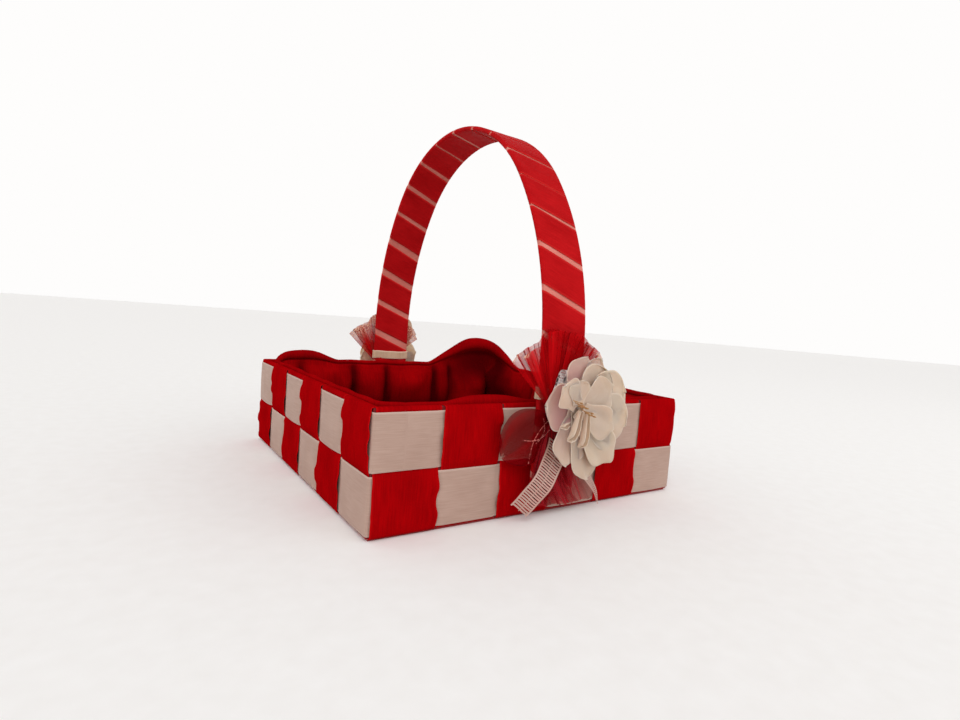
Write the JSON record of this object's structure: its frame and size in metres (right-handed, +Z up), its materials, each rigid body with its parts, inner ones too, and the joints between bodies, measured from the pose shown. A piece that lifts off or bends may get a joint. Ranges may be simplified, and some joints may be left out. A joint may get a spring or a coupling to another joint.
{
  "type": "flower girl basket",
  "caption": "Square ribbon-woven tray basket with a satin lining, a ribbon-wound arched band handle, and a tulle and fabric-blossom decoration at each handle foot.",
  "frame": {"origin": "centre of the flat underside, on the surface that the basket stands on", "axes": "+X along the front wall to the right, +Y from the front wall to the back wall, +Z up"},
  "size_m": [0.2304, 0.3052, 0.2467],
  "materials": {
    "card": "matt grey-brown stiff board, all of it covered",
    "red_felt": "matt felt",
    "red_satin": "woven satin ribbon with a soft sheen",
    "cream_satin": "woven satin ribbon with a soft sheen",
    "lining_satin": "gathered satin, soft sheen",
    "core_satin": "satin-covered strip and plain satin ribbon",
    "wrap_ribbon": "thin ribbon with a dull sheen, slightly see-through",
    "glue": "hot-melt glue",
    "red_tulle": "fine see-through net with a cream edge",
    "silver_mesh": "open mesh ribbon with metallic threads",
    "petal_fabric": "stiffened fabric petals, thin enough to glow",
    "stamen": "waxed threads with small brown tips"
  },
  "bodies": {
    "root": {"base_cover": "red_felt", "base_board": "card", "front_board": "card", "back_board": "card", "left_board": "card", "right_board": "card", "front_upright_1": "red_satin", "front_upright_2": "red_satin", "front_upright_3": "red_satin", "front_upright_4": "red_satin", "front_upright_5": "red_satin", "front_upright_6": "red_satin", "right_upright_1": "red_satin", "right_upright_2": "red_satin", "right_upright_3": "red_satin", "right_upright_4": "red_satin", "right_upright_5": "red_satin", "right_upright_6": "red_satin", "back_upright_1": "red_satin", "back_upright_2": "red_satin", "back_upright_3": "red_satin", "back_upright_4": "red_satin", "back_upright_5": "red_satin", "back_upright_6": "red_satin", "left_upright_1": "red_satin", "left_upright_2": "red_satin", "left_upright_3": "red_satin", "left_upright_4": "red_satin", "left_upright_5": "red_satin", "left_upright_6": "red_satin", "lower_band": "cream_satin", "upper_band": "cream_satin", "lining": "lining_satin", "handle_core": "core_satin", "handle_wrap": "wrap_ribbon", "front_glue_pad": "glue", "back_glue_pad": "glue", "front_foot_tie": "core_satin", "back_foot_tie": "core_satin", "front_tulle_fan": "red_tulle", "front_tulle_loop": "red_tulle", "front_tulle_tail": "red_tulle", "front_tulle_knot": "red_tulle", "front_mesh_loop": "silver_mesh", "front_mesh_tail": "silver_mesh", "front_mesh_point": "silver_mesh", "front_outer_petals": "petal_fabric", "front_inner_petals": "petal_fabric", "front_stamens": "stamen", "back_tulle_fan": "red_tulle", "back_tulle_loop": "red_tulle", "back_tulle_tail": "red_tulle", "back_tulle_knot": "red_tulle", "back_mesh_loop": "silver_mesh", "back_mesh_tail": "silver_mesh", "back_mesh_point": "silver_mesh", "back_outer_petals": "petal_fabric", "back_inner_petals": "petal_fabric", "back_stamens": "stamen"}
  },
  "joints": []
}
